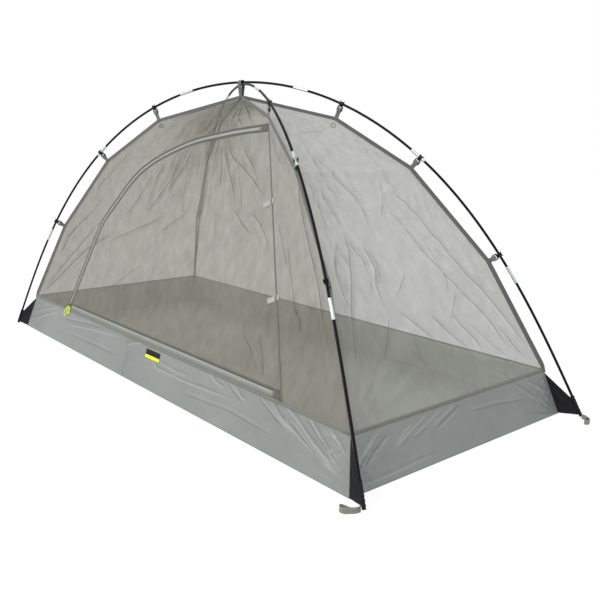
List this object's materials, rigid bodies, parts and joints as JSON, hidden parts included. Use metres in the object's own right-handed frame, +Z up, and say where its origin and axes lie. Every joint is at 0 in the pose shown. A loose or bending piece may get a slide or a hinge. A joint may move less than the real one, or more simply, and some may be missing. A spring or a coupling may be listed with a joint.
{
  "type": "mosquito net tent",
  "caption": "Single-person net tent with a fabric tub floor, a zipped net door and crossed bent poles that carry the canopy on snap clips.",
  "frame": {"origin": "on the ground under the middle of the tent, the centre of the bounding box's underside", "axes": "+X along the tent, towards the end where the door hinges; the door faces -Y; +Z up"},
  "size_m": [2.4268, 1.0562, 1.0757],
  "materials": {
    "clip": "moulded, satin",
    "gusset": "coated cloth, matt",
    "label": "woven, bare",
    "net": "fine mesh netting, see-through",
    "peg_webbing": "flat webbing",
    "pole": "wound fibreglass, lacquered",
    "pull_cord": "braided cord, bright",
    "seam_tape": "woven binding tape, matt",
    "shock_cord": "covered elastic",
    "slider": "cast zinc, satin",
    "tab_webbing": "flat webbing",
    "tub_fabric": "coated polyester, satin",
    "webbing": "flat webbing",
    "zip_tape": "woven zip tape with a coil, matt"
  },
  "bodies": {
    "tent": {"apex_loop": "webbing", "back_net": "net", "blank_label": "label", "bottom_zip_tub_half": "zip_tape", "corner_gusset_back_left": "gusset", "corner_gusset_back_right": "gusset", "corner_gusset_front_left": "gusset", "corner_gusset_front_right": "gusset", "doorway_binding": "seam_tape", "end_net_left": "net", "end_net_right": "net", "floor_sheet": "tub_fabric", "front_back_pole": "pole", "front_back_pole_shock_cord": "shock_cord", "front_net_left": "net", "front_net_right": "net", "hinge_seam_tape": "seam_tape", "left_right_pole": "pole", "left_right_pole_shock_cord": "shock_cord", "peak_patch": "seam_tape", "ridge_tape_back_left": "seam_tape", "ridge_tape_back_right": "seam_tape", "ridge_tape_front_left": "seam_tape", "ridge_tape_front_right": "seam_tape", "side_zip_canopy_half": "zip_tape", "tub_top_binding": "seam_tape", "tub_wall_back": "tub_fabric", "tub_wall_front": "tub_fabric", "tub_wall_left": "tub_fabric", "tub_wall_right": "tub_fabric", "zip_foot_end_patch": "seam_tape", "zip_top_end_patch": "seam_tape"},
    "door": {"door_net": "net", "door_binding": "seam_tape", "side_zip_door_half": "zip_tape", "bottom_zip_door_half": "zip_tape"},
    "side_slider": {"side_zip_slider": "slider"},
    "bottom_slider": {"bottom_zip_slider": "slider"},
    "side_pull": {"side_zip_pull_cord": "pull_cord"},
    "bottom_pull": {"bottom_zip_pull_cord": "pull_cord"},
    "upper_tab": {"upper_tie_back_tab": "tab_webbing"},
    "lower_tab": {"lower_tie_back_tab": "tab_webbing"},
    "hanging_loop_left_body": {"hanging_loop_left": "webbing"},
    "hanging_loop_right_body": {"hanging_loop_right": "webbing"},
    "lower_clip_back_left_body": {"lower_clip_back_left": "clip"},
    "lower_clip_back_right_body": {"lower_clip_back_right": "clip"},
    "lower_clip_front_left_body": {"lower_clip_front_left": "clip"},
    "lower_clip_front_right_body": {"lower_clip_front_right": "clip"},
    "middle_clip_back_left_body": {"middle_clip_back_left": "clip"},
    "middle_clip_back_right_body": {"middle_clip_back_right": "clip"},
    "middle_clip_front_left_body": {"middle_clip_front_left": "clip"},
    "middle_clip_front_right_body": {"middle_clip_front_right": "clip"},
    "peg_loop_back_left_body": {"peg_loop_back_left": "peg_webbing"},
    "peg_loop_back_right_body": {"peg_loop_back_right": "peg_webbing"},
    "peg_loop_front_left_body": {"peg_loop_front_left": "peg_webbing"},
    "peg_loop_front_right_body": {"peg_loop_front_right": "peg_webbing"},
    "upper_clip_back_left_body": {"upper_clip_back_left": "clip"},
    "upper_clip_back_right_body": {"upper_clip_back_right": "clip"},
    "upper_clip_front_left_body": {"upper_clip_front_left": "clip"},
    "upper_clip_front_right_body": {"upper_clip_front_right": "clip"}
  },
  "joints": [
    {"name": "door_swing", "type": "hinge", "parent": "tent", "child": "door", "pos_m": [0.58539, -0.29853, 0.5], "axis": [-0.4539, 0.2984, 0.8396], "range_deg": [0, 95]},
    {"name": "side_zip_slide", "type": "slide", "parent": "tent", "child": "side_slider", "axis": [0.3652, 0.2461, 0.8978], "range_m": [0, 0.3]},
    {"name": "bottom_zip_slide", "type": "slide", "parent": "tent", "child": "bottom_slider", "axis": [1, 0.0012, 0], "range_m": [0, 1.405]},
    {"name": "side_pull_swing", "type": "hinge", "parent": "side_slider", "child": "side_pull", "pos_m": [-0.69042, -0.42515, 0.16304], "axis": [-0.8988, 0.1162, 0.4227], "range_deg": [0, 150]},
    {"name": "bottom_pull_swing", "type": "hinge", "parent": "bottom_slider", "child": "bottom_pull", "pos_m": [-0.67647, -0.42508, 0.16322], "axis": [-1, 0, 0], "range_deg": [0, 150]},
    {"name": "upper_tab_flip", "type": "hinge", "parent": "door", "child": "upper_tab", "pos_m": [0.4898, -0.24, 0.67151], "axis": [-0.4539, 0.2984, 0.8396], "range_deg": [0, 60]},
    {"name": "lower_tab_flip", "type": "hinge", "parent": "door", "child": "lower_tab", "pos_m": [0.63359, -0.33455, 0.40551], "axis": [-0.4539, 0.2984, 0.8396], "range_deg": [0, 60]},
    {"name": "upper_clip_front_left_swing", "type": "hinge", "parent": "tent", "child": "upper_clip_front_left_body", "pos_m": [-0.37521, -0.15516, 0.98212], "axis": [0.8512, 0.352, 0.3892], "range_deg": [-4, 4]},
    {"name": "middle_clip_front_left_swing", "type": "hinge", "parent": "tent", "child": "middle_clip_front_left_body", "pos_m": [-0.64339, -0.26606, 0.80499], "axis": [0.7141, 0.2953, 0.6347], "range_deg": [-4, 4]},
    {"name": "lower_clip_front_left_swing", "type": "hinge", "parent": "tent", "child": "lower_clip_front_left_body", "pos_m": [-0.90079, -0.3725, 0.50219], "axis": [0.5394, 0.2231, 0.812], "range_deg": [-4, 4]},
    {"name": "upper_clip_front_right_swing", "type": "hinge", "parent": "tent", "child": "upper_clip_front_right_body", "pos_m": [0.37215, -0.15389, 0.97488], "axis": [0.8527, -0.3526, -0.3855], "range_deg": [-4, 4]},
    {"name": "middle_clip_front_right_swing", "type": "hinge", "parent": "tent", "child": "middle_clip_front_right_body", "pos_m": [0.63953, -0.26446, 0.8003], "axis": [0.7176, -0.2968, -0.63], "range_deg": [-4, 4]},
    {"name": "lower_clip_front_right_swing", "type": "hinge", "parent": "tent", "child": "lower_clip_front_right_body", "pos_m": [0.89787, -0.37129, 0.50026], "axis": [0.5444, -0.2251, -0.8081], "range_deg": [-4, 4]},
    {"name": "upper_clip_back_right_swing", "type": "hinge", "parent": "tent", "child": "upper_clip_back_right_body", "pos_m": [0.37521, 0.15516, 0.98212], "axis": [0.8512, 0.352, -0.3892], "range_deg": [-4, 4]},
    {"name": "middle_clip_back_right_swing", "type": "hinge", "parent": "tent", "child": "middle_clip_back_right_body", "pos_m": [0.64339, 0.26606, 0.80499], "axis": [0.7141, 0.2953, -0.6347], "range_deg": [-4, 4]},
    {"name": "lower_clip_back_right_swing", "type": "hinge", "parent": "tent", "child": "lower_clip_back_right_body", "pos_m": [0.90079, 0.3725, 0.50219], "axis": [0.5394, 0.2231, -0.812], "range_deg": [-4, 4]},
    {"name": "upper_clip_back_left_swing", "type": "hinge", "parent": "tent", "child": "upper_clip_back_left_body", "pos_m": [-0.37215, 0.15389, 0.97488], "axis": [0.8527, -0.3526, 0.3855], "range_deg": [-4, 4]},
    {"name": "middle_clip_back_left_swing", "type": "hinge", "parent": "tent", "child": "middle_clip_back_left_body", "pos_m": [-0.63953, 0.26446, 0.8003], "axis": [0.7176, -0.2968, 0.63], "range_deg": [-4, 4]},
    {"name": "lower_clip_back_left_swing", "type": "hinge", "parent": "tent", "child": "lower_clip_back_left_body", "pos_m": [-0.89787, 0.37129, 0.50026], "axis": [0.5444, -0.2251, 0.8081], "range_deg": [-4, 4]},
    {"name": "peg_loop_front_left_turn", "type": "hinge", "parent": "tent", "child": "peg_loop_front_left_body", "pos_m": [-1.17405, -0.47773, 0.0003], "axis": [0, 0, 1], "range_deg": [-40, 40]},
    {"name": "peg_loop_front_right_turn", "type": "hinge", "parent": "tent", "child": "peg_loop_front_right_body", "pos_m": [1.16307, -0.48873, 0.0003], "axis": [0, 0, 1], "range_deg": [-40, 40]},
    {"name": "peg_loop_back_right_turn", "type": "hinge", "parent": "tent", "child": "peg_loop_back_right_body", "pos_m": [1.17405, 0.47773, 0.0003], "axis": [0, 0, 1], "range_deg": [-40, 40]},
    {"name": "peg_loop_back_left_turn", "type": "hinge", "parent": "tent", "child": "peg_loop_back_left_body", "pos_m": [-1.16307, 0.48873, 0.0003], "axis": [0, 0, 1], "range_deg": [-40, 40]},
    {"name": "hanging_loop_left_swing", "type": "hinge", "parent": "tent", "child": "hanging_loop_left_body", "pos_m": [-0.347, -0.1435, 0.9204], "axis": [0.3821, -0.9241, 0], "range_deg": [-30, 60]},
    {"name": "hanging_loop_right_swing", "type": "hinge", "parent": "tent", "child": "hanging_loop_right_body", "pos_m": [0.347, 0.1435, 0.9204], "axis": [-0.3821, 0.9241, 0], "range_deg": [-30, 60]}
  ]
}
